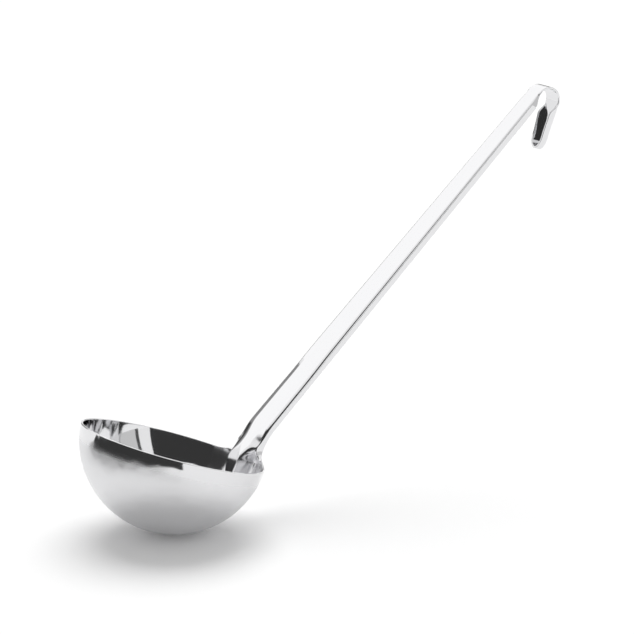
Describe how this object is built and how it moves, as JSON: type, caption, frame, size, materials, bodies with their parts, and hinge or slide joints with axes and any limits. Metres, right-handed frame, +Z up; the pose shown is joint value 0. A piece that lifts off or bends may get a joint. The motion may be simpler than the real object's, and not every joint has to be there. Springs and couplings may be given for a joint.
{
  "type": "soup ladle",
  "caption": "Polished steel soup ladle with a deep round bowl, a flared neck with a pressed rib, a long tapering channel handle and a folded hanging hook.",
  "frame": {"origin": "lowest point of the bowl's outside, where the ladle stands on a table", "axes": "+Z up, +X towards the leaning handle, XZ plane of symmetry; the rim leans 18.2 degrees towards the handle"},
  "size_m": [0.3511, 0.12, 0.2595],
  "materials": {
    "steel": "mirror polished inside the bowl and along the handle, finely satin outside the bowl"
  },
  "bodies": {
    "root": {"bowl": "steel", "neck": "steel", "handle": "steel", "hook": "steel"}
  },
  "joints": []
}
